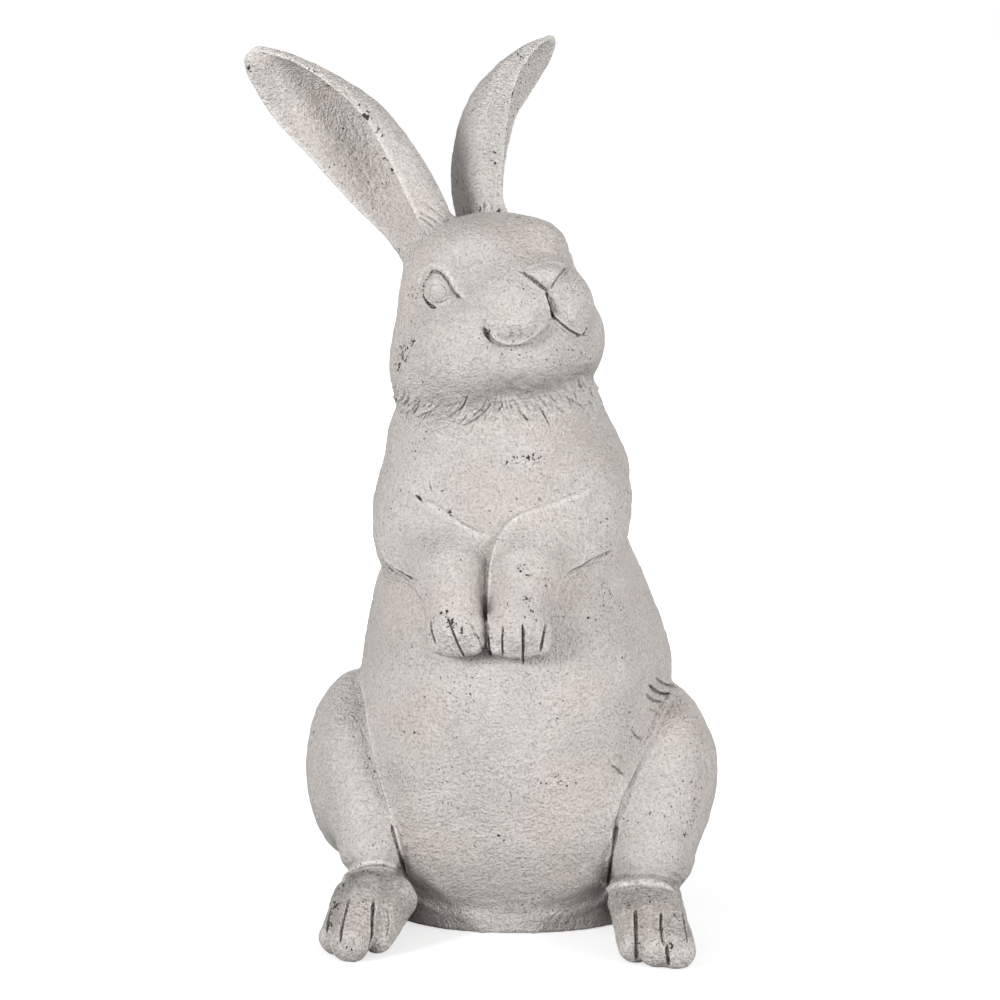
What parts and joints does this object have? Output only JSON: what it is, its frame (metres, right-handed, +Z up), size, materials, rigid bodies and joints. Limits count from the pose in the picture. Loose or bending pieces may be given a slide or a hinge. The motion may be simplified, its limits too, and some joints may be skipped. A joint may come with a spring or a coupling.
{
  "type": "rabbit figurine",
  "caption": "Free-standing cast figurine of a rabbit sitting up, head turned and ears raised, with folded forelegs: an ornament for a garden, porch or shelf.",
  "frame": {"origin": "centre of the base, on the surface that the figurine stands on", "axes": "+Z up, -Y the way the rabbit's body faces, +X the rabbit's own left"},
  "size_m": [0.2446, 0.2347, 0.4633],
  "materials": {
    "cast_stone": "matte",
    "rod_steel": "satin"
  },
  "bodies": {
    "root": {"base_plate": "cast_stone", "body_shell": "cast_stone", "head": "cast_stone", "ear_left": "cast_stone", "ear_right": "cast_stone", "foreleg_left": "cast_stone", "foreleg_right": "cast_stone", "foreleg_dowel_left": "cast_stone", "foreleg_dowel_right": "cast_stone", "hind_leg_left": "cast_stone", "hind_leg_right": "cast_stone", "hind_leg_dowel_left": "cast_stone", "hind_leg_dowel_right": "cast_stone", "hind_foot_left": "cast_stone", "hind_foot_right": "cast_stone", "hind_foot_dowel_left": "cast_stone", "hind_foot_dowel_right": "cast_stone", "tail": "cast_stone", "tail_dowel": "cast_stone", "ear_rod_left": "rod_steel", "ear_rod_right": "rod_steel"}
  },
  "joints": []
}
